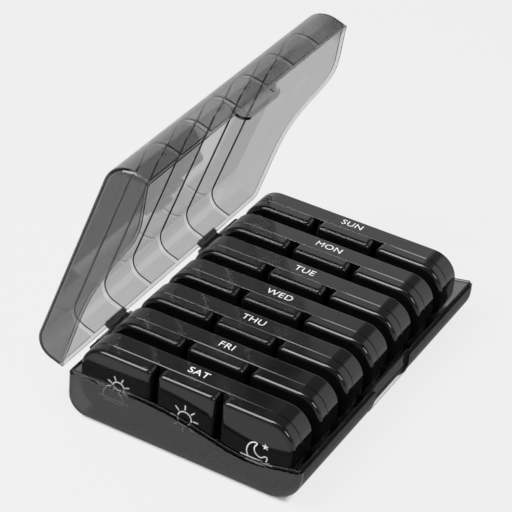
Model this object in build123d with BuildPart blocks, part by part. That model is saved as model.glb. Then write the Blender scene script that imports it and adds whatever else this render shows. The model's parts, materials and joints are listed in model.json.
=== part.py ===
from build123d import *
import os

# Weekly pill organizer: a smoke-tinted tray with a hinged lid, holding seven
# lift-out day cases with three flip lids each.
# X runs across the tray from the hinge side to the latch side, Y runs from the
# first day at the front to the last at the back, Z is up.
# The origin is the centre of the underside. All sizes are millimetres.

os.makedirs("parts", exist_ok=True)

# Outer case, tray and lid together
case_width = 108.1
case_length = 159.3
case_height = 35.0
case_wall = 1.7
hinge_floor_radius = 9.0
latch_floor_radius = 14.0
hinge_roof_radius = 9.0
latch_roof_radius = 12.0
end_radius = 2.3

# Wavy parting line between tray and lid, heights above the table
rim_hinge = 19.6
rim_crest = 19.8
rim_trough = 12.9
rim_latch = 17.3
rim_latch_slope = 0.15
crest_from_hinge_side = 43.6
trough_from_hinge_side = 83.8
rim_gap = 0.3

# Inner lip of the tray and the rebate of the lid round it
lip_thickness = 0.8
lip_height = 1.4
lip_clearance = 0.15

# Shallow channels inside the lid and low dividers on the tray floor
channel_width = 3.0
channel_depth = 0.7
divider_thickness = 1.4
divider_height = 7.0

# Outer hinge: two stations, mirrored about the middle of the length
hinge_outside_wall = 1.8
hinge_below_rim = 1.9
lid_open_angle = 71.4
knuckle_radius = 1.7
pin_radius = 0.8
pin_fit = 0.05
inner_ear_from_middle = 28.5
inner_ear_length = 2.0
lid_knuckle_length = 13.2
outer_ear_length = 9.0
lug_length = 16.0
lug_height = 2.6
lug_corner_radius = 1.2
knuckle_gap = 0.2
hinge_pad_height = 1.9
hinge_pad_proud = 1.5

# Latch tab on the free edge of the lid, and its seat in the tray wall
tab_length = 30.0
tab_drop = 5.2
tab_thickness = 1.6
tab_proud = 0.4
tab_corner_radius = 4.4
tab_root = 3.0
tab_slot_length = 21.0
tab_slot_height = 2.2
tab_slot_depth = 0.6
tab_slot_from_rim = 0.9
tab_clearance = 0.15
seat_end_clearance = 0.6
seat_backing = 1.2
seat_backing_end = 1.6
seat_backing_bottom = 7.5
scoop_bottom = 2.5
scoop_depth = 0.9

# Day cases: a body behind the seam and three flip lids in front of it
day_names = ["sat", "fri", "thu", "wed", "tue", "mon", "sun"]
slot_names = ["morning", "midday", "night"]
day_front_clearance = 4.3
day_rear_clearance = 4.3
day_hinge_side_clearance = 0.2
day_latch_side_clearance = 5.0
day_roof_clearance = 1.8
day_top_radius = 11.5
day_bottom_radius = 12.5
body_depth = 9.0
body_wall = 1.3
body_edge_radius = 0.7
partition_thickness = 2.0
seam_chamfer = 0.25

# Flip lids
lid_depth = 6.3
lid_wall = 1.2
lid_edge_radius = 2.1
lid_corner_radius = 2.6
middle_lid_width = 26.8
groove_width = 2.8
seam_gap = 0.15

# Flip lid hinge, low on the seam
flip_axis_height = 1.3
barrel_radius = 1.15
swing_radius = 1.95
flip_ear_radius = 1.25
flip_ear_web = 2.6
outer_flip_ear_length = 2.0
outer_flip_ear_inset = 0.3
barrel_gap = 0.15
peg_radius = 0.7
peg_fit = 0.05
peg_length = 1.0

# Places worked out from the sizes above
half_width = case_width / 2
half_length = case_length / 2
hinge_x = -half_width - hinge_outside_wall
hinge_z = rim_hinge - hinge_below_rim
hinge_axis = Axis((hinge_x, 0, hinge_z), (0, 1, 0))
day_left = -half_width + case_wall + day_hinge_side_clearance
day_right = half_width - case_wall - day_latch_side_clearance
day_width = day_right - day_left
day_centre = (day_left + day_right) / 2
day_bottom = case_wall
day_top = case_height - case_wall - day_roof_clearance
day_height = day_top - day_bottom
first_seam = -half_length + case_wall + day_front_clearance + lid_depth
last_seam = half_length - case_wall - day_rear_clearance - body_depth
day_pitch = (last_seam - first_seam) / (len(day_names) - 1)
flip_axis_z = day_bottom + flip_axis_height
groove_centre = (middle_lid_width + groove_width) / 2
side_lid_start = middle_lid_width / 2 + groove_width
outer_flip_ear_end = day_width / 2 - day_bottom_radius - outer_flip_ear_inset
outer_flip_ear_start = outer_flip_ear_end - outer_flip_ear_length
reach = 2 * case_height


def seam_of(index):
    return first_seam + day_pitch * index


def gap_middle(index):
    """Middle of the free gap between a day case and the next one behind it."""
    return seam_of(index) + (body_depth + day_pitch - lid_depth) / 2


def round_corner(section, corner, radius):
    """Rounds the corner of a sketch that lies nearest to the given place."""
    fillet(section.vertices().sort_by_distance(corner)[0], radius)


def case_section(inset, start=0):
    """Cross section of the closed case, drawn inwards by inset, standing at Y = start."""
    with BuildSketch(Plane.XZ.offset(-start)) as section:
        with Locations((0, case_height / 2)):
            Rectangle(case_width, case_height)
        for corner, radius in (
            ((-half_width, 0), hinge_floor_radius),
            ((half_width, 0), latch_floor_radius),
            ((-half_width, case_height), hinge_roof_radius),
            ((half_width, case_height), latch_roof_radius),
        ):
            round_corner(section, corner, radius)
        if inset > 0:
            offset(amount=-inset, mode=Mode.REPLACE)
    return section.sketch


def case_block(inset):
    """Solid of the closed case, drawn inwards by inset on every side."""
    with BuildPart() as block:
        add(case_section(inset, half_length - inset))
        extrude(amount=2 * (half_length - inset), dir=(0, -1, 0))
        ends = block.faces().filter_by(Axis.Y)
        fillet(ends.edges(), end_radius - inset)
    return block.part


def below_rim(lift):
    """Everything under the parting line, raised by lift."""
    middle = (crest_from_hinge_side + trough_from_hinge_side) / 2
    points = [
        (-half_width, rim_hinge + lift),
        (-half_width + crest_from_hinge_side, rim_crest + lift),
        (-half_width + middle, (rim_crest + rim_trough) / 2 + lift),
        (-half_width + trough_from_hinge_side, rim_trough + lift),
        (half_width, rim_latch + lift),
    ]
    start, finish = points[0], points[-1]
    with BuildPart() as region:
        with BuildSketch(Plane.XZ.offset(-half_length - reach)):
            with BuildLine():
                Spline(points, tangents=[(1, 0), (1, rim_latch_slope)])
                Polyline(
                    finish,
                    (half_width + reach, finish[1]),
                    (half_width + reach, -reach),
                    (-half_width - reach, -reach),
                    (-half_width - reach, start[1]),
                    start,
                )
            make_face()
        extrude(amount=2 * (half_length + reach))
    return region.part


outer_block = case_block(0)
inner_block = case_block(case_wall)
lip_block = case_block(case_wall - lip_thickness)
rebate_block = case_block(case_wall - lip_thickness - lip_clearance)

# Latch seat sizes that tray and lid share
tab_outer = half_width + tab_proud
tab_inner = tab_outer - tab_thickness
seat_floor = tab_inner - tab_clearance
seat_half = tab_length / 2 + seat_end_clearance
tab_bottom = rim_latch + rim_gap - tab_drop

# Skin of the case wall that the finger scoop takes away
with BuildPart() as scoop:
    with BuildSketch(Plane.XY.offset(scoop_bottom)):
        with Locations((half_width - latch_floor_radius, 0)):
            Rectangle(reach, 2 * seat_half, align=(Align.MIN, Align.CENTER))
    extrude(amount=tab_bottom - scoop_bottom)
scoop_skin = scoop.part & (outer_block - case_block(scoop_depth))

# Backing of the latch seat, inside the tray wall
with BuildPart() as backing:
    with BuildSketch(Plane.XY.offset(seat_backing_bottom)):
        with Locations((seat_floor, 0)):
            Rectangle(
                seat_backing,
                2 * (seat_half + seat_backing_end),
                align=(Align.MAX, Align.CENTER),
            )
    extrude(amount=rim_latch + lip_height - seat_backing_bottom)

# Tray: the lower half of the case, with lip, dividers, hinge lugs and seat
with BuildPart() as base_tray:
    add(outer_block)
    add(inner_block, mode=Mode.SUBTRACT)
    add(below_rim(0), mode=Mode.INTERSECT)
    add((lip_block - inner_block) & below_rim(lip_height))
    add(backing.part & below_rim(lip_height))
    # seat of the latch tab
    with BuildSketch(Plane.XY.offset(tab_bottom - seat_end_clearance)):
        with Locations((seat_floor, 0)):
            Rectangle(reach, 2 * seat_half, align=(Align.MIN, Align.CENTER))
    extrude(amount=reach, mode=Mode.SUBTRACT)
    # finger scoop below the seat: the outer skin of the wall is left out
    add(scoop_skin, mode=Mode.SUBTRACT)
    # low dividers keep the day cases apart
    for index in range(len(day_names) - 1):
        with BuildSketch(Plane.XZ.offset(-gap_middle(index) - divider_thickness / 2)):
            add(case_section(case_wall / 2))
            with Locations((0, case_wall + divider_height + reach / 2)):
                Rectangle(2 * reach, reach, mode=Mode.SUBTRACT)
        extrude(amount=divider_thickness)
    # hinge lugs and ears, with the bore for the pin
    for side in (-1, 1):
        ear_start = inner_ear_from_middle
        lid_start = ear_start + inner_ear_length + knuckle_gap
        outer_start = lid_start + lid_knuckle_length + knuckle_gap
        for start, length in (
            (ear_start, inner_ear_length),
            (outer_start, outer_ear_length),
        ):
            with BuildSketch(Plane.XZ.offset(-side * start)):
                with Locations((hinge_x, hinge_z)):
                    Circle(knuckle_radius)
                with Locations((hinge_x + hinge_outside_wall / 2 + case_wall / 4, hinge_z)):
                    Rectangle(hinge_outside_wall + case_wall / 2, lug_height)
            extrude(amount=-side * length)
        lug_left = hinge_x - knuckle_radius / 2
        lug_right = -half_width + case_wall / 2
        lug_middle = side * (outer_start + lug_length / 2)
        with BuildSketch(Plane.XY.offset(hinge_z - lug_height / 2)) as lug:
            with Locations((lug_left, lug_middle)):
                Rectangle(
                    lug_right - lug_left,
                    lug_length,
                    align=(Align.MIN, Align.CENTER),
                )
            outer_corners = lug.vertices().group_by(Axis.X)[0]
            fillet(outer_corners, lug_corner_radius)
        extrude(amount=lug_height)
        with BuildSketch(Plane.XZ.offset(-side * ear_start)):
            with Locations((hinge_x, hinge_z)):
                Circle(pin_radius + pin_fit)
        extrude(
            amount=-side * (outer_start + outer_ear_length - ear_start),
            mode=Mode.SUBTRACT,
        )
base_tray.part.label = "base_tray"
export_step(base_tray.part, "parts/base_tray.step")

# Channels in the inner face of the lid, one between each two neighbouring days
with BuildPart() as channels:
    for index in range(len(day_names) - 1):
        channel_back = gap_middle(index) + channel_width / 2
        add(case_section(case_wall - channel_depth, channel_back))
        extrude(amount=channel_width, dir=(0, -1, 0))

# Outer lid, drawn closed and then opened about its hinge
with BuildPart() as outer_lid:
    add(outer_block)
    add(inner_block, mode=Mode.SUBTRACT)
    add(below_rim(rim_gap), mode=Mode.SUBTRACT)
    add(rebate_block & below_rim(rim_gap + lip_height), mode=Mode.SUBTRACT)
    add(channels.part, mode=Mode.SUBTRACT)
    # hinge knuckles, each carried by a pad on the outside of the wall
    pad_bottom = rim_hinge + rim_gap
    neck_right = -half_width - (hinge_outside_wall - knuckle_radius)
    for side in (-1, 1):
        lid_start = side * (inner_ear_from_middle + inner_ear_length + knuckle_gap)
        with BuildSketch(Plane.XZ.offset(-lid_start)):
            with Locations((hinge_x, hinge_z)):
                Circle(knuckle_radius)
            with Locations((neck_right, hinge_z)):
                Rectangle(
                    hinge_pad_proud,
                    pad_bottom + hinge_pad_height - hinge_z,
                    align=(Align.MAX, Align.MIN),
                )
            with Locations((neck_right, pad_bottom)):
                Rectangle(case_wall, hinge_pad_height, align=(Align.CENTER, Align.MIN))
        extrude(amount=-side * lid_knuckle_length)
        with BuildSketch(Plane.XZ.offset(-lid_start)):
            with Locations((hinge_x, hinge_z)):
                Circle(pin_radius + pin_fit)
        extrude(amount=-side * lid_knuckle_length, mode=Mode.SUBTRACT)
    # latch tab, with a shallow slot in its outer face
    with BuildSketch(Plane.YZ.offset(tab_inner)) as tab:
        with Locations((0, tab_bottom)):
            Rectangle(tab_length, tab_drop + tab_root, align=(Align.CENTER, Align.MIN))
        fillet(tab.vertices().group_by(Axis.Y)[0], tab_corner_radius)
    extrude(amount=tab_thickness)
    with BuildSketch(Plane.YZ.offset(tab_outer - tab_slot_depth)):
        with Locations((0, rim_latch + rim_gap - tab_slot_from_rim)):
            Rectangle(tab_slot_length, tab_slot_height, align=(Align.CENTER, Align.MAX))
    extrude(amount=tab_slot_depth, mode=Mode.SUBTRACT)
open_lid = outer_lid.part.rotate(hinge_axis, -lid_open_angle)
open_lid.label = "outer_lid"
export_step(open_lid, "parts/outer_lid.step")

# Hinge pins, one in each station
pin_play = knuckle_gap / 2
pin_length = (
    inner_ear_length
    + knuckle_gap
    + lid_knuckle_length
    + knuckle_gap
    + outer_ear_length
    - 2 * pin_play
)
for side, name in ((-1, "hinge_pin_front"), (1, "hinge_pin_rear")):
    pin_start = side * (inner_ear_from_middle + pin_play)
    with BuildPart() as hinge_pin:
        with BuildSketch(Plane.XZ.offset(-pin_start)):
            with Locations((hinge_x, hinge_z)):
                Circle(pin_radius)
        extrude(amount=-side * pin_length)
    hinge_pin.part.label = name
    export_step(hinge_pin.part, f"parts/{name}.step")


def draw_day_outline(section):
    """Draws the outline of a day case, seen from the front, in the given sketch."""
    with Locations((day_left, day_bottom)):
        Rectangle(day_width, day_height, align=(Align.MIN, Align.MIN))
    for corner, radius in (
        ((day_left, day_bottom), day_bottom_radius),
        ((day_right, day_bottom), day_bottom_radius),
        ((day_left, day_top), day_top_radius),
        ((day_right, day_top), day_top_radius),
    ):
        round_corner(section, corner, radius)


def draw_lid_outline(section, left, right):
    """Draws the part of the day case outline between left and right."""
    draw_day_outline(section)
    with Locations((left, day_bottom)):
        Rectangle(right - left, day_height, align=(Align.MIN, Align.MIN), mode=Mode.INTERSECT)
    for cut in (left, right):
        if day_left < cut < day_right:
            round_corner(section, (cut, day_bottom), lid_corner_radius)
            round_corner(section, (cut, day_top), lid_corner_radius)


# Stretches across the day case, measured from its middle, that carry the lid pegs
flip_ears = [
    (-outer_flip_ear_end, -outer_flip_ear_start),
    (-side_lid_start + barrel_gap, -middle_lid_width / 2 - barrel_gap),
    (middle_lid_width / 2 + barrel_gap, side_lid_start - barrel_gap),
    (outer_flip_ear_start, outer_flip_ear_end),
]
# Each lid runs from its left to its right edge, and so does its barrel
lid_spans = [
    (day_left, day_centre - side_lid_start),
    (day_centre - middle_lid_width / 2, day_centre + middle_lid_width / 2),
    (day_centre + side_lid_start, day_right),
]
barrel_spans = [
    (day_centre - outer_flip_ear_start + barrel_gap, day_centre - side_lid_start),
    lid_spans[1],
    (day_centre + side_lid_start, day_centre + outer_flip_ear_start - barrel_gap),
]
swing_half = outer_flip_ear_end + day_bottom_radius / 2


def day_case(seam):
    """Body of one day case: three pockets that open to the front at the seam."""
    with BuildPart() as body:
        with BuildSketch(Plane.XZ.offset(-seam - body_depth)) as outline:
            draw_day_outline(outline)
        extrude(amount=body_depth)
        fillet(body.faces().sort_by(Axis.Y)[-1].edges(), body_edge_radius)
        chamfer(body.faces().sort_by(Axis.Y)[0].edges(), seam_chamfer)
        with BuildSketch(Plane.XZ.offset(-seam - body_depth + body_wall)) as pockets:
            draw_day_outline(pockets)
            offset(amount=-body_wall, mode=Mode.REPLACE)
            with Locations(
                (day_centre - groove_centre, day_bottom),
                (day_centre + groove_centre, day_bottom),
            ):
                Rectangle(
                    partition_thickness,
                    day_height,
                    align=(Align.CENTER, Align.MIN),
                    mode=Mode.SUBTRACT,
                )
        extrude(amount=body_depth, mode=Mode.SUBTRACT)
        # room that the swinging lids need along the lower edge
        with BuildSketch(Plane.YZ.offset(day_centre - swing_half)):
            with Locations((seam, flip_axis_z)):
                Circle(swing_radius)
        extrude(amount=2 * swing_half, mode=Mode.SUBTRACT)
        for start, finish in flip_ears:
            with BuildSketch(Plane.YZ.offset(day_centre + start)):
                with Locations((seam, flip_axis_z)):
                    Circle(flip_ear_radius)
                    Rectangle(
                        flip_ear_web,
                        2 * flip_ear_radius,
                        align=(Align.MIN, Align.CENTER),
                    )
                    Circle(peg_radius + peg_fit, mode=Mode.SUBTRACT)
            extrude(amount=finish - start)
    return body.part


def flip_lid(seam, lid_span, barrel_span):
    """One flip lid: a shallow cap with a hinge barrel and two pegs at its lower edge."""
    left, right = lid_span
    rear = seam - seam_gap
    with BuildPart() as lid:
        with BuildSketch(Plane.XZ.offset(-rear)) as outline:
            draw_lid_outline(outline, left, right)
        extrude(amount=lid_depth - seam_gap)
        fillet(lid.faces().sort_by(Axis.Y)[0].edges(), lid_edge_radius)
        chamfer(lid.faces().sort_by(Axis.Y)[-1].edges(), seam_chamfer)
        with BuildSketch(Plane.XZ.offset(-rear)) as hollow:
            draw_lid_outline(hollow, left, right)
            offset(amount=-lid_wall, mode=Mode.REPLACE)
        extrude(amount=lid_depth - seam_gap - lid_wall, mode=Mode.SUBTRACT)
        # room for the ear that carries the outer peg
        for start, finish in (flip_ears[0], flip_ears[-1]):
            with BuildSketch(Plane.YZ.offset(day_centre + start - barrel_gap)):
                with Locations((seam, flip_axis_z)):
                    Circle(swing_radius)
            extrude(amount=finish - start + 2 * barrel_gap, mode=Mode.SUBTRACT)
        barrel_left, barrel_right = barrel_span
        with BuildSketch(Plane.YZ.offset(barrel_left)):
            with Locations((seam, flip_axis_z)):
                Circle(barrel_radius)
        extrude(amount=barrel_right - barrel_left)
        peg_reach = barrel_gap + peg_length
        with BuildSketch(Plane.YZ.offset(barrel_left - peg_reach)):
            with Locations((seam, flip_axis_z)):
                Circle(peg_radius)
        extrude(amount=barrel_right - barrel_left + 2 * peg_reach)
    return lid.part


for index, day in enumerate(day_names):
    seam = seam_of(index)
    case = day_case(seam)
    case.label = f"case_{day}"
    export_step(case, f"parts/case_{day}.step")
    for slot, lid_span, barrel_span in zip(slot_names, lid_spans, barrel_spans):
        lid = flip_lid(seam, lid_span, barrel_span)
        lid.label = f"lid_{day}_{slot}"
        export_step(lid, f"parts/lid_{day}_{slot}.step")
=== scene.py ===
import json
import math

import bmesh
import bpy
from mathutils import Matrix, Vector


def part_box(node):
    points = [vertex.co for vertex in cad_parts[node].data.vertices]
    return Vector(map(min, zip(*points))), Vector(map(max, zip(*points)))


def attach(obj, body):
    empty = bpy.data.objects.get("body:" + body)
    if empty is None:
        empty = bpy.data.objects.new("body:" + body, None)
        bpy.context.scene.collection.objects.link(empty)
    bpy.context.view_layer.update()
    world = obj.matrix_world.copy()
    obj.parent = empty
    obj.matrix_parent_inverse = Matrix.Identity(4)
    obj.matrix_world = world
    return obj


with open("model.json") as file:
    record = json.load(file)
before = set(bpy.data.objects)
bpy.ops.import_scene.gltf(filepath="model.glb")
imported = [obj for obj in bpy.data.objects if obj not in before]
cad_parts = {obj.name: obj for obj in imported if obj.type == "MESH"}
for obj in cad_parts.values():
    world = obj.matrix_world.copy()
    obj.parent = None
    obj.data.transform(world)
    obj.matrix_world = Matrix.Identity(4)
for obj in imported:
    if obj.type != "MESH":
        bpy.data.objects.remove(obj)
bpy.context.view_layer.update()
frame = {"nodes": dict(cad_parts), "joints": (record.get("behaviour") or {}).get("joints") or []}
nodes = frame["nodes"]
scene = bpy.context.scene
MM = 0.001

DAYS = ("sat", "fri", "thu", "wed", "tue", "mon", "sun")
SLOTS = ("morning", "midday", "night")

lid_hinge = next(joint for joint in frame["joints"] if joint["name"] == "outer_lid_hinge")
HINGE_X = lid_hinge["pos_m"][0]
HINGE_Z = lid_hinge["pos_m"][2]
LID_OPENED = -math.radians(lid_hinge["range_deg"][0])
HALF_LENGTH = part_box("base_tray")[1].y


# node helpers
def new_material(name):
    mat = bpy.data.materials.new(name)
    mat.use_nodes = True
    tree = mat.node_tree
    tree.nodes.clear()
    out = tree.nodes.new("ShaderNodeOutputMaterial")
    return mat, tree, out


def object_noise(tree, scale, detail, roughness):
    """Noise texture in the object's own coordinates; scale is per metre."""
    coord = tree.nodes.new("ShaderNodeTexCoord")
    noise = tree.nodes.new("ShaderNodeTexNoise")
    noise.inputs["Scale"].default_value = scale
    noise.inputs["Detail"].default_value = detail
    noise.inputs["Roughness"].default_value = roughness
    tree.links.new(coord.outputs["Object"], noise.inputs["Vector"])
    return noise.outputs["Fac"]


def object_place(tree):
    """X, Y and Z in the object's own coordinates."""
    coord = tree.nodes.new("ShaderNodeTexCoord")
    split = tree.nodes.new("ShaderNodeSeparateXYZ")
    tree.links.new(coord.outputs["Object"], split.inputs["Vector"])
    return split.outputs["X"], split.outputs["Y"], split.outputs["Z"]


def ramp(tree, value, low, high, start=0.3, end=0.7):
    """Maps start..end to low..high; most of a noise texture lies in 0.3..0.7."""
    node = tree.nodes.new("ShaderNodeMapRange")
    node.inputs["From Min"].default_value = start
    node.inputs["From Max"].default_value = end
    node.inputs["To Min"].default_value = low
    node.inputs["To Max"].default_value = high
    tree.links.new(value, node.inputs["Value"])
    return node.outputs["Result"]


def calc(tree, operation, one, two=0.0):
    """Arithmetic on two values, each a number or a socket."""
    node = tree.nodes.new("ShaderNodeMath")
    node.operation = operation
    for socket, value in zip(node.inputs, (one, two)):
        if isinstance(value, (int, float)):
            socket.default_value = value
        else:
            tree.links.new(value, socket)
    return node.outputs["Value"]


def product(tree, one, *others):
    for other in others:
        one = calc(tree, "MULTIPLY", one, other)
    return one


def vector_calc(tree, operation, vector, other=(0.0, 0.0, 0.0)):
    """Node of arithmetic on a vector socket and a fixed vector."""
    node = tree.nodes.new("ShaderNodeVectorMath")
    node.operation = operation
    tree.links.new(vector, node.inputs[0])
    node.inputs[1].default_value = other
    return node


def bump(tree, height, distance, strength, normal=None):
    node = tree.nodes.new("ShaderNodeBump")
    node.inputs["Strength"].default_value = strength
    node.inputs["Distance"].default_value = distance
    tree.links.new(height, node.inputs["Height"])
    if normal is not None:
        tree.links.new(normal, node.inputs["Normal"])
    return node.outputs["Normal"]


def two_tone(tree, value, dark, light):
    """Colour between two tones, picked by a value of 0..1."""
    shade = tree.nodes.new("ShaderNodeValToRGB")
    shade.color_ramp.elements[0].color = (*dark, 1)
    shade.color_ramp.elements[1].color = (*light, 1)
    tree.links.new(value, shade.inputs["Fac"])
    return shade.outputs["Color"]


def mixed(tree, share, first, second):
    """Two shaders in one, with the given share of the second."""
    mix = tree.nodes.new("ShaderNodeMixShader")
    tree.links.new(share, mix.inputs["Fac"])
    tree.links.new(first, mix.inputs[1])
    tree.links.new(second, mix.inputs[2])
    return mix.outputs["Shader"]


# smoke plastic: where its shade changes, out from the hinge line, above it and round it
LATCH_SIDE = (98.0 * MM, 106.0 * MM)
ABOVE_HINGE = (-0.4 * MM, 0.2 * MM)
KNUCKLE_EDGE = (4.4 * MM, 5.2 * MM)

# where its shade changes along the case, from its middle
ALONG_CASE = (-20.0 * MM, 60.0 * MM)
END_WALL = (HALF_LENGTH - 2.45 * MM, HALF_LENGTH - 1.75 * MM)
END_CORNER = (HALF_LENGTH - 2.85 * MM, HALF_LENGTH - 2.25 * MM)
STATION_START = (30.0 * MM, 30.6 * MM)
STATION_END = (43.9 * MM, 44.5 * MM)

# how strongly the wall tint shows on the latch wall, from near to far, and on the end walls
LATCH_NEAR_STRENGTH = 0.9
LATCH_FAR_STRENGTH = 1.7
NEAR_END_STRENGTH = 1.45
FAR_END_STRENGTH = 0.15

CLEAR_TINT = 0.97
KNUCKLE_DIMMING = 0.93
# painted shade: dark matte colour mixed into the tray's latch side, in place of the shade that wall lies in
LATCH_SHADE_PAINT = (0.016, 0.0155, 0.016, 1)
SHADOW_TINT = (0.95, 0.95, 0.95, 1)
ABSORPTION = (0.03, 0.012, 0.012, 1)


def hinge_place(tree, x, z, opened):
    """Distance out from the hinge line and above it, in a half of the case that is turned open."""
    across = calc(tree, "SUBTRACT", x, HINGE_X)
    up = calc(tree, "SUBTRACT", z, HINGE_Z)
    outward = calc(tree, "ADD", calc(tree, "MULTIPLY", across, math.cos(opened)),
                   calc(tree, "MULTIPLY", up, math.sin(opened)))
    above = calc(tree, "SUBTRACT", calc(tree, "MULTIPLY", up, math.cos(opened)),
                 calc(tree, "MULTIPLY", across, math.sin(opened)))
    return outward, above


def end_strength(tree, y):
    """How strongly the wall tint shows on the near and the far end wall."""
    near = ramp(tree, y, NEAR_END_STRENGTH, 0.0, -END_WALL[1], -END_WALL[0])
    far = ramp(tree, y, 0.0, FAR_END_STRENGTH, *END_WALL)
    return calc(tree, "MAXIMUM", near, far)


def knuckle_share(tree, outward, above, along):
    """1 round the hinge line where the knuckles are, and 0 elsewhere."""
    squares = calc(tree, "ADD", product(tree, outward, outward), product(tree, above, above))
    close = ramp(tree, calc(tree, "SQRT", squares), 1.0, 0.0, *KNUCKLE_EDGE)
    begun = ramp(tree, along, 0.0, 1.0, *STATION_START)
    ended = ramp(tree, along, 1.0, 0.0, *STATION_END)
    return product(tree, close, begun, ended)


def case_shares(tree, opened):
    """Strength of the wall tint, and shares of the knuckles' shade and of the latch side."""
    x, y, z = object_place(tree)
    outward, above = hinge_place(tree, x, z, opened)
    along = calc(tree, "ABSOLUTE", y)
    latch = ramp(tree, outward, 0.0, 1.0, *LATCH_SIDE)
    grown = ramp(tree, y, LATCH_NEAR_STRENGTH, LATCH_FAR_STRENGTH, *ALONG_CASE)
    latch_wall = product(tree, latch, grown, ramp(tree, above, 0.0, 1.0, *ABOVE_HINGE))
    walls = calc(tree, "MAXIMUM", latch_wall, end_strength(tree, y))
    side = product(tree, latch, ramp(tree, along, 1.0, 0.0, *END_CORNER))
    return walls, knuckle_share(tree, outward, above, along), side


def smoke_plastic(name, opened, density, ior, wall_tint, painted_shade_share):
    """Clear tinted plastic. Opened is the angle that its half of the case is turned by, and
    density what it takes out per metre. Its shaded walls have wall_tint on their surface,
    and its latch side has a share of painted shade: dark matte colour that stands in for
    the shade this wall lies in."""
    mat, tree, out = new_material(name)
    walls, knuckle, side = case_shares(tree, opened)
    tint = calc(tree, "SUBTRACT", CLEAR_TINT, product(tree, walls, CLEAR_TINT - wall_tint))
    dimmed = calc(tree, "SUBTRACT", 1.0, product(tree, knuckle, KNUCKLE_DIMMING))
    smear = object_noise(tree, scale=55.0, detail=4.0, roughness=0.6)
    flow = object_noise(tree, scale=24.0, detail=1.0, roughness=0.3)
    glass = tree.nodes.new("ShaderNodeBsdfPrincipled")
    glass.inputs["Transmission Weight"].default_value = 1.0
    glass.inputs["IOR"].default_value = ior
    tree.links.new(product(tree, tint, dimmed), glass.inputs["Base Color"])
    tree.links.new(ramp(tree, smear, 0.025, 0.06), glass.inputs["Roughness"])
    tree.links.new(bump(tree, flow, 0.05 * MM, strength=0.5), glass.inputs["Normal"])
    dark = tree.nodes.new("ShaderNodeBsdfDiffuse")
    dark.inputs["Color"].default_value = LATCH_SHADE_PAINT
    clear = tree.nodes.new("ShaderNodeBsdfTransparent")
    clear.inputs["Color"].default_value = SHADOW_TINT
    path = tree.nodes.new("ShaderNodeLightPath")
    # painted shade: the dark matte colour takes this share of the latch side
    body = mixed(tree, product(tree, side, painted_shade_share), glass.outputs["BSDF"], dark.outputs["BSDF"])
    surface = mixed(tree, path.outputs["Is Shadow Ray"], body, clear.outputs["BSDF"])
    tree.links.new(surface, out.inputs["Surface"])
    absorb = tree.nodes.new("ShaderNodeVolumeAbsorption")
    absorb.inputs["Color"].default_value = ABSORPTION
    absorb.inputs["Density"].default_value = density
    tree.links.new(absorb.outputs["Volume"], out.inputs["Volume"])
    return mat


# opaque plastic and ink
def black_gloss():
    mat, tree, out = new_material("black_gloss")
    shader = tree.nodes.new("ShaderNodeBsdfPrincipled")
    shader.inputs["IOR"].default_value = 1.5
    tone = object_noise(tree, scale=90.0, detail=3.0, roughness=0.5)
    colour = two_tone(tree, tone, (0.0032, 0.0031, 0.0034), (0.0062, 0.006, 0.0063))
    tree.links.new(colour, shader.inputs["Base Color"])
    smear = object_noise(tree, scale=140.0, detail=5.0, roughness=0.65)
    tree.links.new(ramp(tree, smear, 0.085, 0.125), shader.inputs["Roughness"])
    grain = object_noise(tree, scale=1100.0, detail=3.0, roughness=0.5)
    sink = object_noise(tree, scale=45.0, detail=1.0, roughness=0.3)
    waves = bump(tree, sink, 0.04 * MM, strength=0.4)
    grained = bump(tree, grain, 0.0005 * MM, strength=0.2, normal=waves)
    tree.links.new(grained, shader.inputs["Normal"])
    tree.links.new(shader.outputs["BSDF"], out.inputs["Surface"])
    return mat


def white_print():
    mat, tree, out = new_material("white_print")
    shader = tree.nodes.new("ShaderNodeBsdfPrincipled")
    tone = object_noise(tree, scale=2600.0, detail=3.0, roughness=0.6)
    colour = two_tone(tree, tone, (0.78, 0.79, 0.8), (0.9, 0.9, 0.91))
    tree.links.new(colour, shader.inputs["Base Color"])
    tree.links.new(ramp(tree, tone, 0.38, 0.55), shader.inputs["Roughness"])
    tree.links.new(bump(tree, tone, 0.008 * MM, strength=0.5), shader.inputs["Normal"])
    tree.links.new(shader.outputs["BSDF"], out.inputs["Surface"])
    return mat


def paint(obj, mat):
    obj.data.materials.clear()
    obj.data.materials.append(mat)


LID_SMOKE = smoke_plastic("smoke_lid", LID_OPENED, density=290.0, ior=1.49, wall_tint=0.72, painted_shade_share=0.0)
# the tray's latch side gets painted shade
TRAY_SMOKE = smoke_plastic("smoke_tray", 0.0, density=800.0, ior=1.6, wall_tint=CLEAR_TINT, painted_shade_share=0.75)
BLACK = black_gloss()
WHITE = white_print()
for name, node in nodes.items():
    if name == "outer_lid":
        paint(node, LID_SMOKE)
    elif name == "base_tray":
        paint(node, TRAY_SMOKE)
    else:
        paint(node, BLACK)


# printed marks, drawn in millimetres
INK_ABOVE = 0.03
INK_BELOW = 0.02
STROKE = 0.6
CAP_STEPS = 5
LEAST_CORNER_COSINE = 0.625


def stroke_sides(points, closed=False):
    """Left and right side of a line as wide as a stroke. A sharp corner is drawn out only so far."""
    count = len(points)
    left, right = [], []
    for i, point in enumerate(points):
        before = points[(i - 1) % count] if closed or i > 0 else None
        after = points[(i + 1) % count] if closed or i < count - 1 else None
        arriving = (point - before).normalized() if before is not None else (after - point).normalized()
        leaving = (after - point).normalized() if after is not None else arriving
        tangent = (arriving + leaving).normalized()
        normal = Vector((-tangent.y, tangent.x))
        corner_cosine = normal.dot(Vector((-arriving.y, arriving.x)))
        reach = normal * STROKE / 2 / max(LEAST_CORNER_COSINE, corner_cosine)
        left.append(point + reach)
        right.append(point - reach)
    return left, right


def round_cap(centre, ahead, first):
    """Points of a half circle round a line's end, between its two sides."""
    angles = [math.pi * step / CAP_STEPS for step in range(1, CAP_STEPS)]
    return [centre + (first * math.cos(angle) + ahead * math.sin(angle)) * STROKE / 2 for angle in angles]


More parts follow.
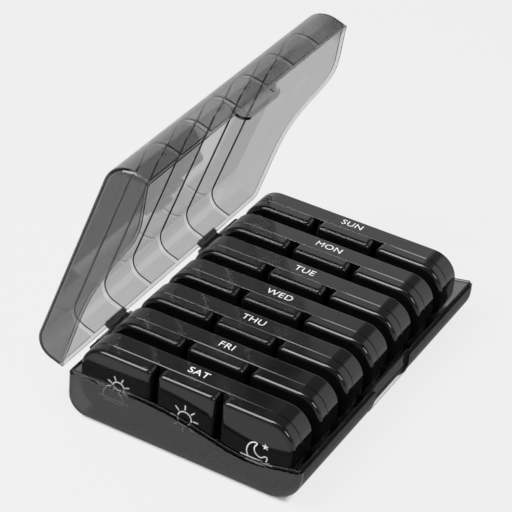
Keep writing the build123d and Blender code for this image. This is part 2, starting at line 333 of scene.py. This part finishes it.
def add_shape(mesh, outline, level=0.0):
    """Adds one inked area to a bmesh, flat on its XY plane. Level lifts its face a little,
    so that marks which cross don't share one."""
    upper = [mesh.verts.new((x, y, INK_ABOVE + level)) for x, y in outline]
    lower = [mesh.verts.new((x, y, -INK_BELOW)) for x, y in outline]
    mesh.faces.new(upper)
    mesh.faces.new(list(reversed(lower)))
    count = len(outline)
    for i in range(count):
        j = (i + 1) % count
        mesh.faces.new((upper[j], upper[i], lower[i], lower[j]))


def add_stroke(mesh, points, level=0.0):
    """Adds one inked line with round ends to a bmesh."""
    points = [Vector(point) for point in points]
    left, right = stroke_sides(points)
    start, end = points[0], points[-1]
    ahead = (end - points[-2]).normalized()
    back = (start - points[1]).normalized()
    outline = left + round_cap(end, ahead, (left[-1] - end).normalized())
    outline += right[::-1] + round_cap(start, back, (right[0] - start).normalized())
    add_shape(mesh, outline, level)


def add_ring(mesh, points):
    """Adds one closed inked line to a bmesh."""
    left, right = stroke_sides([Vector(point) for point in points], closed=True)
    edges = ((left, -INK_BELOW), (left, INK_ABOVE), (right, INK_ABOVE), (right, -INK_BELOW))
    rings = [[mesh.verts.new((point.x, point.y, z)) for point in side] for side, z in edges]
    count = len(points)
    for k in range(len(rings)):
        one, two = rings[k], rings[(k + 1) % len(rings)]
        for i in range(count):
            j = (i + 1) % count
            mesh.faces.new((one[i], one[j], two[j], two[i]))


def polar(centre, radius, degrees):
    angle = math.radians(degrees)
    return centre[0] + radius * math.cos(angle), centre[1] + radius * math.sin(angle)


def arc(centre, radius, start, end, count=28):
    return [polar(centre, radius, start + (end - start) * i / count) for i in range(count + 1)]


def smooth(points, per=6):
    """Catmull-Rom curve through the points."""
    pts = [Vector(point) for point in points]
    pts = [2 * pts[0] - pts[1]] + pts + [2 * pts[-1] - pts[-2]]
    made = []
    for i in range(1, len(pts) - 2):
        p0, p1, p2, p3 = pts[i - 1:i + 3]
        for s in range(per):
            t = s / per
            made.append(0.5 * (2 * p1 + (p2 - p0) * t + (2 * p0 - 5 * p1 + 4 * p2 - p3) * t * t
                               + (3 * p1 - p0 - 3 * p2 + p3) * t * t * t))
    made.append(pts[-2])
    return made


def rays(mesh, centre, inner, outer, angles):
    for angle in angles:
        add_stroke(mesh, [polar(centre, inner, angle), polar(centre, outer, angle)])


def level_line(mesh, start, end, height=0.0, level=0.0):
    add_stroke(mesh, [(start, height), (end, height)], level)


def star(mesh, centre, outer, inner, first, tips=5):
    corners = range(2 * tips)
    add_shape(mesh, [polar(centre, inner if k % 2 else outer, first + 180 / tips * k) for k in corners])


def sunrise(mesh):
    """Sun behind a hill on a horizon, from the middle of the horizon."""
    sun = (1.6, 5.95)
    hill = [(-4.95, 0.0), (-5.0, 1.6), (-4.6, 3.4), (-3.75, 4.8), (-2.5, 5.9), (-1.1, 6.5),
            (0.4, 5.9), (1.75, 4.7), (3.1, 3.3), (4.25, 1.9), (4.9, 0.2)]
    rays(mesh, sun, inner=3.65, outer=5.3, angles=(156, 112, 67, 22, -22))
    add_stroke(mesh, arc(sun, radius=2.8, start=-50, end=168), level=0.002)
    add_stroke(mesh, smooth(hill), level=0.004)
    level_line(mesh, -6.95, 6.95, level=0.006)
    level_line(mesh, -4.35, 4.45, height=-1.3)


def full_sun(mesh):
    """Sun ring with eight rays, from its centre."""
    sun = (0, 0)
    add_ring(mesh, arc(sun, radius=3.1, start=0, end=360, count=40)[:-1])
    rays(mesh, sun, inner=4.15, outer=6.1, angles=range(0, 360, 45))


def moonset(mesh):
    """Crescent moon on a horizon, with a star, from the middle of the horizon."""
    moon = [(-3.9, 0.1), (-4.65, 2.1), (-4.6, 4.1), (-3.85, 6.1), (-2.5, 7.55), (-1.2, 8.05),
            (-0.4, 7.9), (-0.35, 7.3), (-1.05, 6.35), (-1.4, 5.2), (-1.3, 4.0), (-0.55, 2.75),
            (0.6, 1.95), (1.9, 1.75), (3.2, 2.75), (4.1, 3.0), (4.6, 2.5), (4.5, 1.4), (3.9, 0.05)]
    add_stroke(mesh, smooth(moon), level=0.002)
    level_line(mesh, -7.1, 7.1, level=0.004)
    level_line(mesh, -4.5, 4.5, height=-1.3)
    star(mesh, (3.4, 7.75), outer=1.65, inner=0.62, first=97)


MARKS = {"morning": sunrise, "midday": full_sun, "night": moonset}
# place of each mark on its lid: from the middle of the day case, and above the table
MARK_PLACE = {"morning": (-32.5, 11.1), "midday": (0.45, 16.0), "night": (33.9, 10.75)}
UPRIGHT = Matrix.Rotation(math.pi / 2, 4, "X")

# day names: depth of a case body behind its seam, and where the word's foot stands
BODY_DEPTH = 9.0
WORD_FROM_SEAM = 2.85
WORD_FROM_MIDDLE = -0.4
WORD_HEIGHT = 5.3
WORD_SPACING = 1.06
WORD_SWELL = 0.01
WORD_THICKNESS = INK_ABOVE + INK_BELOW


def word(day):
    """Mesh of a day's name, in millimetres."""
    text = bpy.data.curves.new(f"word_{day}", "FONT")
    text.body = day.upper()
    text.size = WORD_HEIGHT
    text.align_x = "CENTER"
    text.space_character = WORD_SPACING
    text.offset = WORD_SWELL
    text.extrude = WORD_THICKNESS / 2
    obj = bpy.data.objects.new(f"word_{day}", text)
    scene.collection.objects.link(obj)
    bpy.context.view_layer.update()
    mesh = bmesh.new()
    mesh.from_mesh(bpy.data.meshes.new_from_object(obj))
    bpy.data.objects.remove(obj)
    return mesh


def place_mark(mesh, name, turn, body):
    """Makes an object of the bmesh, whose millimetres become metres, and lets it ride."""
    bmesh.ops.recalc_face_normals(mesh, faces=mesh.faces)
    data = bpy.data.meshes.new(name)
    mesh.to_mesh(data)
    mesh.free()
    data.transform(turn @ Matrix.Scale(MM, 4))
    obj = bpy.data.objects.new(name, data)
    scene.collection.objects.link(obj)
    paint(obj, WHITE)
    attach(obj, body)


for day in DAYS:
    case_low, case_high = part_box(f"case_{day}")
    middle = (case_low.x + case_high.x) / 2
    for slot in SLOTS:
        lid_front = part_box(f"lid_{day}_{slot}")[0].y
        mesh = bmesh.new()
        MARKS[slot](mesh)
        across, up = MARK_PLACE[slot]
        at = Matrix.Translation((middle + across * MM, lid_front, up * MM))
        place_mark(mesh, f"mark_{day}_{slot}", at @ UPRIGHT, f"lid_{day}_{slot}")
    seam = case_high.y - BODY_DEPTH * MM
    ink_middle = case_high.z + (INK_ABOVE - WORD_THICKNESS / 2) * MM
    foot = (middle + WORD_FROM_MIDDLE * MM, seam + WORD_FROM_SEAM * MM, ink_middle)
    place_mark(word(day), f"name_{day}", Matrix.Translation(foot), f"case_{day}")


# floor, which glows for the camera except under the tray, where it is in shade
FLOOR_HALF = 6.0
FLOOR_BELOW = 0.4 * MM
FLOOR_GLOW = (0.855, 0.855, 0.855, 1)
GLOW_SHARE = 0.94
GLOW_EDGE = 3.0 * MM
SHADED_HALF = (46.0 * MM, 76.5 * MM, 1.0)


def floor_material():
    mat, tree, out = new_material("floor")
    tone = object_noise(tree, scale=9.0, detail=3.0, roughness=0.5)
    diffuse = tree.nodes.new("ShaderNodeBsdfDiffuse")
    tree.links.new(two_tone(tree, tone, (0.8, 0.8, 0.8), (0.82, 0.82, 0.82)), diffuse.inputs["Color"])
    glow = tree.nodes.new("ShaderNodeEmission")
    glow.inputs["Color"].default_value = FLOOR_GLOW
    glow.inputs["Strength"].default_value = 1.0
    path = tree.nodes.new("ShaderNodeLightPath")
    seen = calc(tree, "MAXIMUM", path.outputs["Is Camera Ray"], path.outputs["Is Glossy Ray"])
    seen = calc(tree, "MAXIMUM", seen, path.outputs["Is Transmission Ray"])
    coord = tree.nodes.new("ShaderNodeTexCoord")
    folded = vector_calc(tree, "ABSOLUTE", coord.outputs["Object"]).outputs["Vector"]
    beyond = vector_calc(tree, "SUBTRACT", folded, SHADED_HALF).outputs["Vector"]
    beyond = vector_calc(tree, "MAXIMUM", beyond).outputs["Vector"]
    away = vector_calc(tree, "LENGTH", beyond).outputs["Value"]
    share = product(tree, ramp(tree, away, 0.0, GLOW_SHARE, 0.0, GLOW_EDGE), seen)
    surface = mixed(tree, share, diffuse.outputs["BSDF"], glow.outputs["Emission"])
    tree.links.new(surface, out.inputs["Surface"])
    return mat


def make_floor():
    mesh = bmesh.new()
    bmesh.ops.create_grid(mesh, x_segments=4, y_segments=4, size=FLOOR_HALF)
    data = bpy.data.meshes.new("floor")
    mesh.to_mesh(data)
    mesh.free()
    floor = bpy.data.objects.new("floor", data)
    floor.location = (0, 0, -FLOOR_BELOW)
    scene.collection.objects.link(floor)
    paint(floor, floor_material())
    return floor


floor = make_floor()


# lamps and the room's own light
LAMPS_AIM = Vector((0, 0, 0.03))


def lamp(name, place, width, height, power):
    light = bpy.data.lights.new(name, "AREA")
    light.shape = "RECTANGLE"
    light.size = width
    light.size_y = height
    light.energy = power
    obj = bpy.data.objects.new(name, light)
    obj.location = place
    obj.rotation_euler = (LAMPS_AIM - Vector(place)).to_track_quat("-Z", "Y").to_euler()
    scene.collection.objects.link(obj)


def studio_world():
    """Light of the room, which grows to the rear and is dim overhead."""
    world = bpy.data.worlds.new("studio")
    world.use_nodes = True
    tree = world.node_tree
    tree.nodes.clear()
    out = tree.nodes.new("ShaderNodeOutputWorld")
    background = tree.nodes.new("ShaderNodeBackground")
    background.inputs["Strength"].default_value = 1.0
    coord = tree.nodes.new("ShaderNodeTexCoord")
    split = tree.nodes.new("ShaderNodeSeparateXYZ")
    tree.links.new(coord.outputs["Generated"], split.inputs["Vector"])
    rear = ramp(tree, split.outputs["Y"], 0.3, 0.95, start=-0.2, end=0.75)
    dim = ramp(tree, split.outputs["Z"], 1.0, 0.2, start=0.57, end=0.61)
    tree.links.new(product(tree, rear, dim), background.inputs["Color"])
    tree.links.new(background.outputs["Background"], out.inputs["Surface"])
    return world


lamp("key", (-0.47, -0.47, 1.06), width=0.55, height=1.2, power=19.0)
lamp("side", (0.95, -0.5, 0.75), width=0.25, height=0.5, power=4.5)
lamp("top", (0.1, -0.1, 1.5), width=0.9, height=0.9, power=2.0)
scene.world = studio_world()

# camera
CAMERA_PLACE = (0.312074, -0.639936, 0.532614)
CAMERA_TILT = 55.91728
CAMERA_ROLL = -4.17321
CAMERA_HEADING = 29.82623

camera = bpy.data.cameras.new("camera")
camera.sensor_width = 36.0
camera.lens = 146.04
camera.clip_start = 0.05
camera.clip_end = 20.0
view = bpy.data.objects.new("camera", camera)
view.location = CAMERA_PLACE
view.rotation_euler = [math.radians(angle) for angle in (CAMERA_TILT, CAMERA_ROLL, CAMERA_HEADING)]
scene.collection.objects.link(view)
scene.camera = view

scene.view_settings.view_transform = "Standard"
